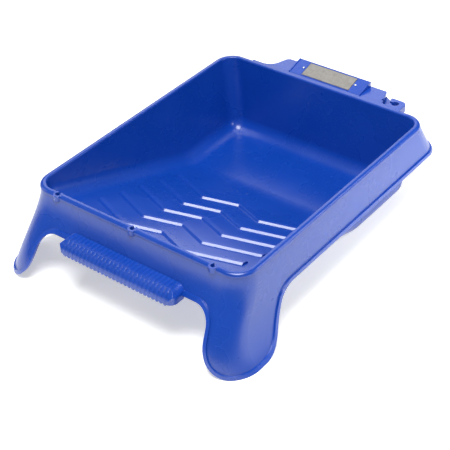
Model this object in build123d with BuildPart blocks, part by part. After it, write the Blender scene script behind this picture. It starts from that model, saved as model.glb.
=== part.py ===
"""Deep-well paint roller tray with a magnetic brush holder on its back shelf.

Frame: +X right, +Y towards the back shelf, +Z up.  The origin is the middle of the
footprint, on the surface that the tray stands on.  Lengths are millimetres.
"""
from build123d import *
import math
import os

os.makedirs("parts", exist_ok=True)

# ---------------------------------------------------------------- driving dimensions
RIM_HEIGHT = 105.0          # rim top above the surface it stands on
MOUTH_WIDTH = 290.0         # inside the rim, left to right
MOUTH_LENGTH = 355.7        # inside the rim, front to back
FRONT_MOUTH_Y = -168.35     # inner front edge of the rim
WALL = 2.4                  # moulded wall thickness

BACK_MOUTH_Y = FRONT_MOUTH_Y + MOUTH_LENGTH
MID_MOUTH_Y = (FRONT_MOUTH_Y + BACK_MOUTH_Y) / 2

# basin
MOUTH_CORNER_R = 18.0
SIDE_DRAFT = 0.13           # inward lean of the side walls per unit of depth
END_DRAFT = 0.07            # inward lean of the front and back walls
RAMP_TOP_DROP = 22.0        # ramp below the rim, at the front wall
RAMP_SLOPE = 0.339          # fall of the ramp per unit of length
BASIN_FILLET_R = 19.0       # where walls, ramp and well floor meet
FOLD_R = 70.0               # between ramp and well floor

# ramp ribs
RIB_ROWS = 5
RIB_FIRST_Y = FRONT_MOUTH_Y + 46.0      # apex of the first rib, at the centre line
RIB_PITCH_Y = 35.1
RIB_KNEE_X = 43.0
RIB_END_X = 106.0
RIB_KNEE_Y = -20.6          # the knees lie in front of the apex
RIB_END_Y = 10.4            # the outer ends lie behind it
RIB_WIDTH_Y = 13.0          # across the rib's base, along Y
RIB_HEIGHT = 2.6
RIB_TAPER = 40.0
RIB_KNEE_R = 6.0
RIB_SINK = 0.5

# rim bead
BEAD_WIDTH = 7.5
BEAD_HEIGHT = 4.6
BEAD_OUTER_R = 4.0
BEAD_INNER_R = 2.0

# outer skirt: depth below the rim, half width, front reach, corner radius
SKIRT_SECTIONS = (
    (3.6, 151.0, 6.5, 24.5),
    (48.0, 156.4, 28.0, 27.0),
    (70.0, 160.4, 42.5, 29.0),
    (87.0, 166.0, 50.5, 33.0),
    (105.0, 175.4, 53.5, 39.0),
)
SKIRT_BACK_REACH = 6.1      # skirt outside the mouth's back edge, at the top
SKIRT_BACK_FLARE = 0.54
SKIRT_BOTTOM_Z = 55.4       # lower edge of the skirt, sides and back
LIP_PROUD = 1.8
LIP_HEIGHT = 4.4

# the legs are what the side arch and the front arch leave
SIDE_ARCH_FOOT_Y = FRONT_MOUTH_Y + 17.8
SIDE_ARCH_TOP_Y = FRONT_MOUTH_Y + 57.2
SIDE_FOOT_R = 42.0
SIDE_ARCH_R = 32.0
FRONT_ARCH_FOOT_X = 130.8
FRONT_ARCH_TOP_X = 120.6
FRONT_ARCH_Z = 64.0
FRONT_FOOT_R = 40.0
FRONT_ARCH_R = 22.0
FRONT_ARCH_START = -(FRONT_MOUTH_Y + 60)

# liner notches in the front rim
LINER_NOTCH_X = 111.8
LINER_NOTCH_R = 3.1
LINER_NOTCH_MOUTH = 4.0
LINER_NOTCH_DEPTH = 5.0
LINER_BOSS_R = 5.6
LINER_BOSS_OUTSET = 4.4

# grip on the front wall: depths below the rim and reaches in front of the mouth
GRIP_HALF = 84.0
GRIP_TOP = (14.8, 26.5)
GRIP_CROWN = (34.5, 32.5)
GRIP_EDGE = (42.5, 45.5)
GRIP_ROOT = (22.8, 41.0)
GRIP_SHELL = 3.0
GRIP_END_R = 10.0
GRIP_PLAN_LENGTH = 60.0
GRIP_FIN_PITCH = 5.6
GRIP_FIN_COUNT = 27
GRIP_FIN_THICKNESS = 2.6
GRIP_FLUTE = 0.2
GRIP_FIN_DROP = 2.0         # the fins show below the grip's edge

# back shelf and the rod seat beside it
SHELF_BACK_Y = FRONT_MOUTH_Y + 391.0
SHELF_TOP_Z = RIM_HEIGHT
SHELF_LEFT_X = -73.5
SHELF_LEFT_ROOT_X = -110.0
SHELF_RIGHT_X = 82.0
SHELF_WALL = 2.2
SHELF_ROOT = 3.4            # the shelf starts this far behind the mouth
SADDLE_THICKNESS = 2.0      # floor of the U notch
SHELF_WALL_DROP = 9.0
TAB_BACK_Y = FRONT_MOUTH_Y + 381.5
TAB_RIGHT_X = 113.0
NOTCH_WIDTH = 8.6
NOTCH_LENGTH = 50.0
NOTCH_ANGLE = 109.2
NOTCH_CENTRE = (81.3, FRONT_MOUTH_Y + 391.8)
NOTCH_TIP_R = 2.0
ROD_SEAT = (100.5, FRONT_MOUTH_Y + 371.8)
ROD_SEAT_R = 4.7
ROD_SEAT_MOUTH = 3.0
ROD_SEAT_DEPTH = 9.0

# magnetic brush holder
HOLDER_HALF = 54.0
HOLDER_FRONT_Y = BACK_MOUTH_Y + BEAD_WIDTH + 0.3
HOLDER_BACK_Y = SHELF_BACK_Y - 1.2
HOLDER_FRONT_RISE = 0.2
HOLDER_BACK_RISE = 6.9
HOLDER_MID_Y = (HOLDER_FRONT_Y + HOLDER_BACK_Y) / 2
HOLDER_BODY_HALF = 36.0
HOLDER_BODY_WIDTH = 24.0
HOLDER_BODY_DROP = 7.5
HOLDER_GUIDE_WIDTH = 1.4
HOLDER_GUIDE_HEIGHT = 0.9
PLATE_LENGTH = 71.0
PLATE_WIDTH = 22.6
PLATE_THICKNESS = 1.4
PLATE_PROUD = 0.5
PLATE_GAP = 0.5
MAGNET_LENGTH = 64.0
MAGNET_WIDTH = 14.0
MAGNET_THICKNESS = 4.0
PIN_X = 39.4
PIN_R = 1.0
PIN_HEAD_R = 1.5
PIN_HEAD_HEIGHT = 0.5
PIN_TAIL = 4.5


# ---------------------------------------------------------------- shared forms
def basin_form(grow):
    """The basin's inside as a solid, or its outside when grown by the wall."""
    depth = RIM_HEIGHT - WALL + grow
    half_width = MOUTH_WIDTH / 2 + grow
    half_length = MOUTH_LENGTH / 2 + grow
    ramp_drop = RAMP_TOP_DROP + grow * math.hypot(1, RAMP_SLOPE)
    ramp_end_y = FRONT_MOUTH_Y + (depth - ramp_drop) / RAMP_SLOPE
    cut_y = FRONT_MOUTH_Y - 40
    with BuildPart(mode=Mode.PRIVATE) as form:
        for drop in (0, depth):
            with BuildSketch(Plane.XY.offset(RIM_HEIGHT - drop)):
                with Locations((0, MID_MOUTH_Y)):
                    RectangleRounded(
                        2 * (half_width - SIDE_DRAFT * drop),
                        2 * (half_length - END_DRAFT * drop),
                        MOUTH_CORNER_R + grow,
                    )
        loft(ruled=True)
        with BuildSketch(Plane.YZ):
            with BuildLine():
                Polyline(
                    (cut_y, RIM_HEIGHT - ramp_drop + 40 * RAMP_SLOPE),
                    (ramp_end_y, RIM_HEIGHT - depth),
                    (ramp_end_y, -60),
                    (cut_y, -60),
                    close=True,
                )
            make_face()
        extrude(amount=MOUTH_WIDTH, both=True, mode=Mode.SUBTRACT)
        fold = form.edges().filter_by(Axis.X).sort_by_distance((0, ramp_end_y, RIM_HEIGHT - depth))[0]
        fillet(fold, radius=FOLD_R - grow)
        highest = RIM_HEIGHT - ramp_drop + 2
        low = [e for e in form.edges() if e.bounding_box().max.Z < highest]
        fillet(low, radius=BASIN_FILLET_R + grow)
    return form.part


def skirt_form(grow):
    """The solid inside the flared skirt, grown outwards."""
    with BuildPart(mode=Mode.PRIVATE) as form:
        for drop, half, reach, corner_r in SKIRT_SECTIONS:
            front_y = FRONT_MOUTH_Y - reach - grow
            back_y = BACK_MOUTH_Y + SKIRT_BACK_REACH + SKIRT_BACK_FLARE * drop + grow
            with BuildSketch(Plane.XY.offset(RIM_HEIGHT - drop)):
                with Locations((0, (front_y + back_y) / 2)):
                    RectangleRounded(2 * (half + grow), back_y - front_y, corner_r + grow)
        loft()
    return form.part


def side_arches(grow):
    """What the side arches and the skirt's lower edge take away, grown outwards."""
    front_y = FRONT_MOUTH_Y - 90
    back_y = BACK_MOUTH_Y + 90
    with BuildPart(mode=Mode.PRIVATE) as form:
        with BuildSketch(Plane.YZ):
            with BuildLine():
                FilletPolyline(
                    (front_y, -30),
                    (front_y, 0),
                    (SIDE_ARCH_FOOT_Y, 0),
                    (SIDE_ARCH_TOP_Y, SKIRT_BOTTOM_Z),
                    (back_y, SKIRT_BOTTOM_Z),
                    (back_y, -30),
                    radius=(0, SIDE_FOOT_R, SIDE_ARCH_R, 0),
                )
                Line((back_y, -30), (front_y, -30))
            make_face()
            if grow:
                offset(amount=grow)
        extrude(amount=260, both=True)
    return form.part


def front_arch(grow):
    """What the front arch takes away between the two legs, grown outwards."""
    with BuildPart(mode=Mode.PRIVATE) as form:
        with BuildSketch(Plane.XZ.offset(FRONT_ARCH_START)):
            with BuildLine():
                FilletPolyline(
                    (-260, 0),
                    (-FRONT_ARCH_FOOT_X, 0),
                    (-FRONT_ARCH_TOP_X, FRONT_ARCH_Z),
                    (FRONT_ARCH_TOP_X, FRONT_ARCH_Z),
                    (FRONT_ARCH_FOOT_X, 0),
                    (260, 0),
                    radius=(FRONT_FOOT_R, FRONT_ARCH_R, FRONT_ARCH_R, FRONT_FOOT_R),
                )
                Polyline((260, 0), (260, -30), (-260, -30), (-260, 0))
            make_face()
            if grow:
                offset(amount=grow)
        extrude(amount=160)
    return form.part


def grip_form(grow, half, longer=0):
    """The grip's bulge as a solid that ends inside the front wall."""
    top = (FRONT_MOUTH_Y - GRIP_TOP[0], RIM_HEIGHT - GRIP_TOP[1] + grow)
    crown = (FRONT_MOUTH_Y - GRIP_CROWN[0] - grow, RIM_HEIGHT - GRIP_CROWN[1] + grow)
    edge = (FRONT_MOUTH_Y - GRIP_EDGE[0] - grow, RIM_HEIGHT - GRIP_EDGE[1])
    heel = (edge[0] + 0.2 * longer + 0.01, edge[1] - longer - 0.01)
    root = (FRONT_MOUTH_Y - GRIP_ROOT[0], RIM_HEIGHT - GRIP_ROOT[1])
    with BuildPart(mode=Mode.PRIVATE) as form:
        with BuildSketch(Plane.YZ):
            with BuildLine():
                Spline(top, crown, edge, tangents=((-1, -0.25), (0, -1)))
                Polyline(edge, heel, (root[0], heel[1]), root, top)
            make_face()
        extrude(amount=half, both=True)
        with BuildSketch(Plane.XY):
            with Locations((0, edge[0] + GRIP_PLAN_LENGTH / 2)):
                RectangleRounded(2 * half, GRIP_PLAN_LENGTH, GRIP_END_R + grow)
        extrude(amount=RIM_HEIGHT, mode=Mode.INTERSECT)
        with BuildSketch(Plane.XZ):
            with Locations((0, crown[1] - GRIP_PLAN_LENGTH / 2 + 1)):
                RectangleRounded(2 * half, GRIP_PLAN_LENGTH, GRIP_END_R + grow)
        extrude(amount=300, mode=Mode.INTERSECT)
    return form.part


def zigzag_rib(plane):
    """One flat-topped rib, square-cut at both ends."""
    back = RIB_WIDTH_Y / 2
    run_out = 1.0 + 6.0 / (RIB_END_X - RIB_KNEE_X)
    end_x = RIB_KNEE_X + run_out * (RIB_END_X - RIB_KNEE_X)
    end_y = RIB_KNEE_Y + run_out * (RIB_END_Y - RIB_KNEE_Y)
    centre = (
        (-end_x, end_y),
        (-RIB_KNEE_X, RIB_KNEE_Y),
        (0, 0),
        (RIB_KNEE_X, RIB_KNEE_Y),
        (end_x, end_y),
    )
    with BuildPart(mode=Mode.PRIVATE) as rib:
        with BuildSketch(plane):
            with BuildLine():
                front = FilletPolyline(*[(x, y - back) for x, y in centre], radius=(RIB_KNEE_R, 0, RIB_KNEE_R))
                rear = FilletPolyline(*[(x, y + back) for x, y in centre], radius=(RIB_KNEE_R, 0, RIB_KNEE_R))
                Line(front @ 0, rear @ 0)
                Line(front @ 1, rear @ 1)
            make_face()
        extrude(amount=RIB_HEIGHT + RIB_SINK, taper=RIB_TAPER)
        with Locations(plane):
            Box(2 * RIB_END_X, 200, 40, mode=Mode.INTERSECT)
    return rib.part


def shelf_outline(inset):
    """Outline of the back shelf, from inside the rim bead outwards."""
    root_y = BACK_MOUTH_Y - 8
    shoulder_y = BACK_MOUTH_Y + BEAD_WIDTH - inset
    back_y = SHELF_BACK_Y - inset
    tab_back_y = TAB_BACK_Y - inset
    with BuildSketch(Plane.XY, mode=Mode.PRIVATE) as outline:
        with BuildLine():
            FilletPolyline(
                (SHELF_LEFT_ROOT_X + inset, root_y),
                (SHELF_LEFT_ROOT_X + inset, shoulder_y),
                (SHELF_LEFT_X - 8.5 + 1.2 * inset, shoulder_y),
                (SHELF_LEFT_X + inset, back_y),
                (SHELF_RIGHT_X, back_y),
                (SHELF_RIGHT_X + 4, tab_back_y),
                (TAB_RIGHT_X - inset, tab_back_y),
                (TAB_RIGHT_X - inset, root_y),
                radius=(0, 18 + inset, 7 - inset, 0, 0, 8 - inset),
            )
            Line((TAB_RIGHT_X - inset, root_y), (SHELF_LEFT_ROOT_X + inset, root_y))
        make_face()
        with Locations(Location((*NOTCH_CENTRE, 0), (0, 0, NOTCH_ANGLE))):
            SlotCenterToCenter(NOTCH_LENGTH, NOTCH_WIDTH + 2 * inset, mode=Mode.SUBTRACT)
        if inset == 0:
            tips = outline.vertices().filter_by(lambda v: v.X > SHELF_RIGHT_X - 8 and v.Y > TAB_BACK_Y - 1)
            fillet(tips.filter_by(lambda v: v.Y > SHELF_BACK_Y - 1), radius=NOTCH_TIP_R)
            fillet(outline.vertices().sort_by_distance((NOTCH_CENTRE[0] + 5, TAB_BACK_Y))[0], radius=NOTCH_TIP_R)
    return outline.sketch


def back_shelf():
    """Shelf with turned-down edges, U notch for a handle and the snap-in rod seat."""
    with BuildPart(mode=Mode.PRIVATE) as shelf:
        with BuildSketch(Plane.XY.offset(SHELF_TOP_Z)):
            add(shelf_outline(0))
        extrude(amount=-SHELF_WALL_DROP)
        with BuildSketch(Plane.XY.offset(SHELF_TOP_Z - WALL)):
            add(shelf_outline(SHELF_WALL))
        extrude(amount=-SHELF_WALL_DROP, mode=Mode.SUBTRACT)
        with Locations((*ROD_SEAT, SHELF_TOP_Z)):
            Cylinder(ROD_SEAT_R + SHELF_WALL, ROD_SEAT_DEPTH, align=(Align.CENTER, Align.CENTER, Align.MAX))
            Cylinder(
                ROD_SEAT_R,
                3 * ROD_SEAT_DEPTH,
                mode=Mode.SUBTRACT,
            )
        with Locations((ROD_SEAT[0], ROD_SEAT[1], SHELF_TOP_Z)):
            Box(
                ROD_SEAT[0] - NOTCH_CENTRE[0],
                ROD_SEAT_MOUTH,
                3 * ROD_SEAT_DEPTH,
                align=(Align.MAX, Align.CENTER, Align.CENTER),
                mode=Mode.SUBTRACT,
            )
        with BuildSketch(Plane.XY.offset(SHELF_TOP_Z - SHELF_WALL_DROP)):
            with BuildLine():
                Polyline(
                    (SHELF_RIGHT_X - 5, BACK_MOUTH_Y),
                    (SHELF_RIGHT_X - 5, SHELF_BACK_Y - 0.5),
                    (ROD_SEAT[0] - 8, TAB_BACK_Y - 0.5),
                    (ROD_SEAT[0] - 5, BACK_MOUTH_Y),
                    close=True,
                )
            make_face()
        extrude(amount=SADDLE_THICKNESS)
        with Locations((0, BACK_MOUTH_Y - 20, SHELF_TOP_Z)):
            Box(400, 2 * (20 + SHELF_ROOT), 60, mode=Mode.SUBTRACT)
        with Locations((0, (HOLDER_FRONT_Y + HOLDER_BACK_Y) / 2, SHELF_TOP_Z)):
            Box(2 * HOLDER_BODY_HALF + 1, HOLDER_BODY_WIDTH + 1, 10, mode=Mode.SUBTRACT)
        with Locations(*[(x, HOLDER_MID_Y, SHELF_TOP_Z) for x in (-PIN_X, PIN_X)]):
            Cylinder(PIN_R + 0.1, 10, mode=Mode.SUBTRACT)
    return shelf.part


def liner_notches(depth, radius, mouth):
    """Pits, or bosses when there is no mouth, along the front rim."""
    with BuildPart(mode=Mode.PRIVATE) as notches:
        for x in (-LINER_NOTCH_X, 0, LINER_NOTCH_X):
            with Locations((x, FRONT_MOUTH_Y - LINER_BOSS_OUTSET, RIM_HEIGHT)):
                Cylinder(radius, depth, align=(Align.CENTER, Align.CENTER, Align.MAX))
                if mouth:
                    Box(mouth, 2 * LINER_BOSS_OUTSET, depth, align=(Align.CENTER, Align.MIN, Align.MAX))
    return notches.part


# ---------------------------------------------------------------- skirt, legs and lip
with BuildPart() as skirt:
    add(skirt_form(0))
    add(skirt_form(-WALL), mode=Mode.SUBTRACT)
    add(front_arch(0), mode=Mode.SUBTRACT)
    add(side_arches(0), mode=Mode.SUBTRACT)

with BuildPart() as lip_band:
    add(skirt_form(LIP_PROUD))
    add(skirt_form(-WALL), mode=Mode.SUBTRACT)
    add(front_arch(0), mode=Mode.SUBTRACT)
    add(side_arches(0), mode=Mode.SUBTRACT)

side_lip = lip_band.part & side_arches(LIP_HEIGHT)
front_lip = lip_band.part & front_arch(LIP_HEIGHT)

# ---------------------------------------------------------------- tray body
with BuildPart() as tray_body:
    add(basin_form(WALL))
    with BuildSketch(Plane.XY.offset(RIM_HEIGHT)):
        with Locations((0, MID_MOUTH_Y)):
            RectangleRounded(
                MOUTH_WIDTH + 2 * BEAD_WIDTH,
                MOUTH_LENGTH + 2 * BEAD_WIDTH,
                MOUTH_CORNER_R + BEAD_WIDTH,
            )
    extrude(amount=-BEAD_HEIGHT)
    add(basin_form(0), mode=Mode.SUBTRACT)
    rim_top = faces().sort_by(Axis.Z)[-1]
    fillet(rim_top.outer_wire().edges(), radius=BEAD_OUTER_R)
    rim_top = faces().sort_by(Axis.Z)[-1]
    fillet(rim_top.inner_wires()[0].edges(), radius=BEAD_INNER_R)
    add(skirt.part)
    add(side_lip)
    add(front_lip)

    # grip, its fins and end walls
    add(grip_form(0, GRIP_HALF) - grip_form(-GRIP_SHELL, GRIP_HALF - GRIP_SHELL))
    with BuildPart(mode=Mode.PRIVATE) as fins:
        last_fin = (GRIP_FIN_COUNT - 1) * GRIP_FIN_PITCH / 2
        fin_centres = [(i * GRIP_FIN_PITCH - last_fin, FRONT_MOUTH_Y, RIM_HEIGHT) for i in range(GRIP_FIN_COUNT)]
        with Locations(*fin_centres):
            Box(GRIP_FIN_THICKNESS, 200, 200)
        add(grip_form(GRIP_FLUTE, GRIP_HALF, GRIP_FIN_DROP), mode=Mode.INTERSECT)
    add(fins.part)

    # ramp ribs
    for row in range(RIB_ROWS):
        rib_y = RIB_FIRST_Y + row * RIB_PITCH_Y
        ramp_z = RIM_HEIGHT - RAMP_TOP_DROP - RAMP_SLOPE * (rib_y - FRONT_MOUTH_Y)
        add(zigzag_rib(Plane((0, rib_y, ramp_z), x_dir=(1, 0, 0), z_dir=(0, RAMP_SLOPE, 1)).offset(-RIB_SINK)))

    add(back_shelf())
    add(liner_notches(LINER_NOTCH_DEPTH + 2, LINER_BOSS_R, 0) - basin_form(0))
    add(liner_notches(LINER_NOTCH_DEPTH, LINER_NOTCH_R, LINER_NOTCH_MOUTH), mode=Mode.SUBTRACT)

# ---------------------------------------------------------------- magnetic brush holder
holder_slope = math.atan2(HOLDER_BACK_RISE - HOLDER_FRONT_RISE, HOLDER_BACK_Y - HOLDER_FRONT_Y)
holder_face = Plane(
    origin=(0, HOLDER_MID_Y, SHELF_TOP_Z + (HOLDER_FRONT_RISE + HOLDER_BACK_RISE) / 2),
    x_dir=(1, 0, 0),
    z_dir=(0, -math.sin(holder_slope), math.cos(holder_slope)),
)
plate_seat = holder_face.offset(PLATE_PROUD - PLATE_THICKNESS)

with BuildPart() as magnet_holder:
    with BuildSketch(Plane.YZ):
        with BuildLine():
            Polyline(
                (HOLDER_FRONT_Y, SHELF_TOP_Z),
                (HOLDER_FRONT_Y, SHELF_TOP_Z + HOLDER_FRONT_RISE),
                (HOLDER_BACK_Y, SHELF_TOP_Z + HOLDER_BACK_RISE),
                (HOLDER_BACK_Y, SHELF_TOP_Z),
                close=True,
            )
        make_face()
    extrude(amount=HOLDER_HALF, both=True)
    guide_length = (HOLDER_BACK_Y - HOLDER_FRONT_Y) / math.cos(holder_slope) - 1
    guide_x = HOLDER_HALF - HOLDER_GUIDE_WIDTH / 2
    with BuildSketch(holder_face):
        with Locations((-guide_x, 0), (guide_x, 0)):
            Rectangle(HOLDER_GUIDE_WIDTH, guide_length)
    extrude(amount=HOLDER_GUIDE_HEIGHT)
    with Locations((0, HOLDER_MID_Y, SHELF_TOP_Z + 1)):
        Box(
            2 * HOLDER_BODY_HALF,
            HOLDER_BODY_WIDTH,
            HOLDER_BODY_DROP + 1,
            align=(Align.CENTER, Align.CENTER, Align.MAX),
        )
    with BuildSketch(plate_seat):
        Rectangle(PLATE_LENGTH + 2 * PLATE_GAP, PLATE_WIDTH + 2 * PLATE_GAP)
    extrude(amount=10, mode=Mode.SUBTRACT)
    with BuildSketch(plate_seat):
        Rectangle(MAGNET_LENGTH + 0.6, MAGNET_WIDTH + 0.6)
    extrude(amount=-MAGNET_THICKNESS, mode=Mode.SUBTRACT)
    with Locations((-PIN_X, HOLDER_MID_Y, SHELF_TOP_Z), (PIN_X, HOLDER_MID_Y, SHELF_TOP_Z)):
        Cylinder(PIN_R + 0.1, 40, mode=Mode.SUBTRACT)

with BuildPart() as magnet_bar:
    with BuildSketch(plate_seat):
        Rectangle(MAGNET_LENGTH, MAGNET_WIDTH)
    extrude(amount=-MAGNET_THICKNESS)
    chamfer(edges().filter_by(lambda e: e.length < MAGNET_THICKNESS + 0.1), length=0.6)

with BuildPart() as magnet_face_plate:
    with BuildSketch(plate_seat):
        Rectangle(PLATE_LENGTH, PLATE_WIDTH)
    extrude(amount=PLATE_THICKNESS)
    chamfer(faces().filter_by(lambda f: f.normal_at().dot(holder_face.z_dir) > 0.99).edges(), length=0.35)

with BuildPart() as holder_pins:
    face_z = SHELF_TOP_Z + (HOLDER_FRONT_RISE + HOLDER_BACK_RISE) / 2
    head_base = face_z + math.tan(holder_slope) * PIN_HEAD_R + 0.05
    shank_length = head_base - SHELF_TOP_Z + PIN_TAIL
    with Locations((-PIN_X, HOLDER_MID_Y, head_base), (PIN_X, HOLDER_MID_Y, head_base)):
        Cylinder(PIN_R, shank_length, align=(Align.CENTER, Align.CENTER, Align.MAX))
        Cylinder(PIN_HEAD_R, PIN_HEAD_HEIGHT, align=(Align.CENTER, Align.CENTER, Align.MIN))
    fillet(edges().group_by(Axis.Z)[-1], radius=PIN_HEAD_HEIGHT - 0.1)

# ---------------------------------------------------------------- export
tray_body.part.label = "tray_body"
magnet_holder.part.label = "magnet_holder"
magnet_bar.part.label = "magnet_bar"
magnet_face_plate.part.label = "magnet_face_plate"
holder_pins.part.label = "holder_pins"

export_step(tray_body.part, "parts/tray_body.step")
export_step(magnet_holder.part, "parts/magnet_holder.step")
export_step(magnet_bar.part, "parts/magnet_bar.step")
export_step(magnet_face_plate.part, "parts/magnet_face_plate.step")
export_step(holder_pins.part, "parts/holder_pins.step")
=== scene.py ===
"""Looks, light and camera for the deep-well paint roller tray.  Metres, in the row frame."""

import math

import bpy
from mathutils import Matrix, Vector

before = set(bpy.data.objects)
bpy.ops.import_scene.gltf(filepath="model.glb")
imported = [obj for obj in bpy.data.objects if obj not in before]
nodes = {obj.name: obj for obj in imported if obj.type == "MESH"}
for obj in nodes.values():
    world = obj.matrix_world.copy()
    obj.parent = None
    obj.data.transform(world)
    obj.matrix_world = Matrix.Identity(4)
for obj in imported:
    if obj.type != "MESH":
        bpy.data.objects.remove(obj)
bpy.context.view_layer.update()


# ---------------------------------------------------------------- colours and sizes
TRAY_BLUE = (0.002, 0.047, 0.350)
TRAY_BLUE_CLOUD = (0.003, 0.051, 0.370)
TRAY_EDGE_R = 0.0008        # shaded rounding of the moulding's edges
HOLDER_BLUE = (0.003, 0.050, 0.360)
HOLDER_BLUE_CLOUD = (0.004, 0.056, 0.390)
HOLDER_EDGE_R = 0.0003
ZINC_DARK = (0.33, 0.317, 0.298)
ZINC_PALE = (0.39, 0.377, 0.357)
ZINC_STAIN = (0.24, 0.22, 0.20)
FERRITE_DARK = (0.030, 0.030, 0.034)
FERRITE_PALE = (0.075, 0.073, 0.072)
STEEL_DARK = (0.62, 0.62, 0.64)
STEEL_PALE = (0.80, 0.80, 0.80)
PAPER_DARK = (0.92, 0.92, 0.92)
PAPER_PALE = (0.94, 0.94, 0.94)

FLOOR_SIZE = 14.0
FLOOR_GLOW_COLOUR = (1.0, 0.98, 0.82, 1.0)
FLOOR_GLOW = 0.48           # lifts the tray's shadow to a pale grey
SKY_STRENGTH = 0.18
TRAY_MIDDLE = (0, 0, 0.05)  # what three of the lamps aim at

CAMERA_PLACE = (0.7563, -0.93225, 0.9100)
CAMERA_LENS = 98.74         # millimetres, on a 36 mm sensor


# ---------------------------------------------------------------- node helpers
def new_material(name):
    material = bpy.data.materials.new(name)
    material.use_nodes = True
    tree = material.node_tree
    return material, tree, tree.nodes["Principled BSDF"]


def add_node(tree, kind, **settings):
    node = tree.nodes.new(kind)
    for key, value in settings.items():
        setattr(node, key, value)
    return node


def noise(tree, vector, scale, detail=4.0, roughness=0.55):
    node = add_node(tree, "ShaderNodeTexNoise")
    node.inputs["Scale"].default_value = scale
    node.inputs["Detail"].default_value = detail
    node.inputs["Roughness"].default_value = roughness
    tree.links.new(vector, node.inputs["Vector"])
    return node.outputs["Fac"]


def remap(tree, value, low, high, out_low, out_high):
    node = add_node(tree, "ShaderNodeMapRange")
    node.inputs["From Min"].default_value = low
    node.inputs["From Max"].default_value = high
    node.inputs["To Min"].default_value = out_low
    node.inputs["To Max"].default_value = out_high
    tree.links.new(value, node.inputs["Value"])
    return node.outputs["Result"]


def maths(tree, operation, first, second):
    node = add_node(tree, "ShaderNodeMath", operation=operation)
    for socket, value in zip(node.inputs, (first, second)):
        if isinstance(value, (int, float)):
            socket.default_value = value
        else:
            tree.links.new(value, socket)
    return node.outputs[0]


def mix_colour(tree, factor, first, second):
    node = add_node(tree, "ShaderNodeMix", data_type="RGBA")
    tree.links.new(factor, node.inputs["Factor"])
    for socket, value in ((node.inputs[6], first), (node.inputs[7], second)):
        if isinstance(value, tuple):
            socket.default_value = (*value, 1.0)
        else:
            tree.links.new(value, socket)
    return node.outputs[2]


def bump(tree, height, distance, strength=1.0, normal=None):
    node = add_node(tree, "ShaderNodeBump")
    node.inputs["Distance"].default_value = distance
    node.inputs["Strength"].default_value = strength
    tree.links.new(height, node.inputs["Height"])
    if normal is not None:
        tree.links.new(normal, node.inputs["Normal"])
    return node.outputs["Normal"]


def object_coords(tree, stretch=(1, 1, 1)):
    coords = add_node(tree, "ShaderNodeTexCoord")
    mapping = add_node(tree, "ShaderNodeMapping")
    mapping.inputs["Scale"].default_value = stretch
    tree.links.new(coords.outputs["Object"], mapping.inputs["Vector"])
    return mapping.outputs["Vector"]


# ---------------------------------------------------------------- materials
def moulded_plastic(name, colour, worn, edge_radius):
    """Semi-gloss polypropylene: soft cloudiness, fine moulded grain, faint scuffs, paler edges."""
    material, tree, shader = new_material(name)
    coords = object_coords(tree)
    clouds = noise(tree, coords, 14.0, 3.0)
    grain = noise(tree, coords, 1300.0, 2.0)
    ripple = noise(tree, coords, 60.0, 2.0)
    scuffs = noise(tree, object_coords(tree, (9.0, 1.0, 9.0)), 90.0, 6.0, 0.7)
    scuff_mask = remap(tree, scuffs, 0.60, 0.74, 0.0, 1.0)

    geometry = add_node(tree, "ShaderNodeNewGeometry")
    edges = remap(tree, geometry.outputs["Pointiness"], 0.52, 0.60, 0.0, 0.35)
    cloudy = mix_colour(tree, remap(tree, clouds, 0.35, 0.65, 0.0, 1.0), colour, worn)
    edge_colour = tuple(min(1.0, 1.4 * channel + 0.02) for channel in colour)
    tree.links.new(mix_colour(tree, edges, cloudy, edge_colour), shader.inputs["Base Color"])

    gloss = remap(tree, clouds, 0.3, 0.7, 0.24, 0.31)
    scuff_roughness = maths(tree, "MULTIPLY", scuff_mask, 0.10)
    tree.links.new(maths(tree, "ADD", gloss, scuff_roughness), shader.inputs["Roughness"])
    shader.inputs["IOR"].default_value = 1.49
    shader.inputs["Specular IOR Level"].default_value = 0.70
    shader.inputs["Subsurface Weight"].default_value = 0.08
    shader.inputs["Subsurface Radius"].default_value = (0.2, 0.35, 1.0)
    shader.inputs["Subsurface Scale"].default_value = 0.003

    rounded = add_node(tree, "ShaderNodeBevel", samples=4)
    rounded.inputs["Radius"].default_value = edge_radius
    waves = bump(tree, ripple, 0.00015, 0.5, rounded.outputs["Normal"])
    tree.links.new(bump(tree, grain, 0.00002, 0.4, waves), shader.inputs["Normal"])
    return material


def galvanised_steel(name):
    """Zinc-coated plate: warm grey mottling over fine rolling lines."""
    material, tree, shader = new_material(name)
    coords = object_coords(tree)
    spangle = noise(tree, coords, 260.0, 3.0, 0.55)
    stains = noise(tree, coords, 110.0, 4.0, 0.6)
    lines = noise(tree, object_coords(tree, (0.05, 1.0, 1.0)), 2400.0, 2.0)
    tone = mix_colour(tree, remap(tree, spangle, 0.38, 0.62, 0.0, 1.0), ZINC_DARK, ZINC_PALE)
    stained = mix_colour(tree, remap(tree, stains, 0.52, 0.74, 0.0, 0.35), tone, ZINC_STAIN)
    tree.links.new(stained, shader.inputs["Base Color"])
    shader.inputs["Metallic"].default_value = 0.75
    tree.links.new(remap(tree, spangle, 0.3, 0.7, 0.42, 0.62), shader.inputs["Roughness"])
    tree.links.new(bump(tree, maths(tree, "ADD", spangle, lines), 0.00005, 0.6), shader.inputs["Normal"])
    return material


def sintered_ferrite(name):
    """Matt dark grey, evenly grained."""
    material, tree, shader = new_material(name)
    coords = object_coords(tree)
    grain = noise(tree, coords, 900.0, 5.0, 0.7)
    tree.links.new(mix_colour(tree, grain, FERRITE_DARK, FERRITE_PALE), shader.inputs["Base Color"])
    tree.links.new(remap(tree, grain, 0.3, 0.7, 0.60, 0.80), shader.inputs["Roughness"])
    tree.links.new(bump(tree, grain, 0.0001, 0.6), shader.inputs["Normal"])
    return material


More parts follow.
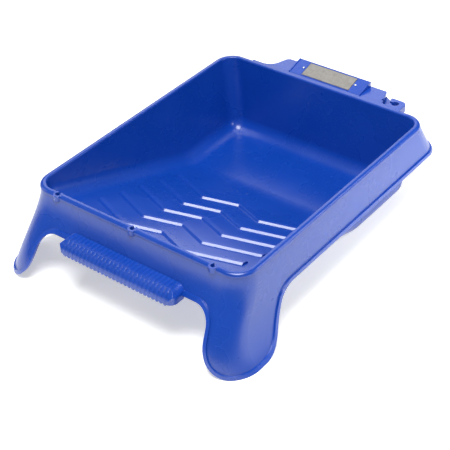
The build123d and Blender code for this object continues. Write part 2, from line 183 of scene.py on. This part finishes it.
def bright_steel(name):
    """Pin heads with a faint turned grain."""
    material, tree, shader = new_material(name)
    coords = object_coords(tree)
    turned = noise(tree, coords, 1500.0, 3.0)
    tree.links.new(mix_colour(tree, turned, STEEL_DARK, STEEL_PALE), shader.inputs["Base Color"])
    shader.inputs["Metallic"].default_value = 1.0
    tree.links.new(remap(tree, turned, 0.3, 0.7, 0.20, 0.34), shader.inputs["Roughness"])
    tree.links.new(bump(tree, turned, 0.00003, 0.5), shader.inputs["Normal"])
    return material


def paint(node_name, material):
    mesh = nodes[node_name].data
    mesh.materials.clear()
    mesh.materials.append(material)


paint("tray_body", moulded_plastic("tray_plastic", TRAY_BLUE, TRAY_BLUE_CLOUD, TRAY_EDGE_R))
paint("magnet_holder", moulded_plastic("holder_plastic", HOLDER_BLUE, HOLDER_BLUE_CLOUD, HOLDER_EDGE_R))
paint("magnet_face_plate", galvanised_steel("face_steel"))
paint("magnet_bar", sintered_ferrite("ferrite"))
paint("holder_pins", bright_steel("pin_steel"))

# ---------------------------------------------------------------- floor
bpy.ops.mesh.primitive_plane_add(size=FLOOR_SIZE, location=(0, 0, 0))
floor = bpy.context.object
floor.name = "floor"
floor_material, floor_tree, floor_shader = new_material("floor_paper")
paper = noise(floor_tree, object_coords(floor_tree), 30.0, 3.0)
paper_colour = mix_colour(floor_tree, paper, PAPER_DARK, PAPER_PALE)
floor_tree.links.new(paper_colour, floor_shader.inputs["Base Color"])
floor_shader.inputs["Roughness"].default_value = 0.9
floor_shader.inputs["Emission Color"].default_value = FLOOR_GLOW_COLOUR
floor_shader.inputs["Emission Strength"].default_value = FLOOR_GLOW
floor.data.materials.append(floor_material)

# ---------------------------------------------------------------- light
world = bpy.data.worlds.new("studio")
bpy.context.scene.world = world
world.use_nodes = True
world.node_tree.nodes["Background"].inputs["Color"].default_value = (1.0, 1.0, 1.0, 1.0)
world.node_tree.nodes["Background"].inputs["Strength"].default_value = SKY_STRENGTH


def softbox(name, place, aim, size, watts):
    """Rectangular area lamp that faces its aim."""
    data = bpy.data.lights.new(name, "AREA")
    data.shape = "RECTANGLE"
    data.size, data.size_y = size
    data.energy = watts
    lamp = bpy.data.objects.new(name, data)
    bpy.context.scene.collection.objects.link(lamp)
    lamp.location = place
    lamp.rotation_euler = (Vector(aim) - Vector(place)).to_track_quat("-Z", "Y").to_euler()


softbox("overhead", (0.24, -0.48, 1.95), TRAY_MIDDLE, (1.0, 1.0), 48)
softbox("back_left", (-1.15, 1.35, 1.35), TRAY_MIDDLE, (1.3, 1.0), 8)
softbox("backdrop", (-1.1, 1.9, 0.30), (0, 0, 0.08), (1.8, 0.55), 7)
softbox("left", (-1.9, -0.9, 1.0), TRAY_MIDDLE, (0.8, 1.0), 6)
softbox("right", (0.62, 0.28, 0.32), (0.61, 0.28, 0), (0.35, 0.5), 3)

# ---------------------------------------------------------------- camera
AZIMUTH = math.radians(39.50)
ELEVATION = math.radians(37.10)
ROLL = math.radians(-2.89)
back = Vector(
    (math.sin(AZIMUTH) * math.cos(ELEVATION), -math.cos(AZIMUTH) * math.cos(ELEVATION), math.sin(ELEVATION))
)
level_right = Vector((math.cos(AZIMUTH), math.sin(AZIMUTH), 0))
level_up = back.cross(level_right)
right = level_right * math.cos(ROLL) + level_up * math.sin(ROLL)
up = -level_right * math.sin(ROLL) + level_up * math.cos(ROLL)

camera_data = bpy.data.cameras.new("camera")
camera_data.sensor_width = 36.0
camera_data.lens = CAMERA_LENS
camera = bpy.data.objects.new("camera", camera_data)
bpy.context.scene.collection.objects.link(camera)
rotation = Matrix((right, up, back)).transposed()
camera.matrix_world = Matrix.Translation(CAMERA_PLACE) @ rotation.to_4x4()
bpy.context.scene.camera = camera
bpy.context.scene.view_settings.view_transform = "Standard"
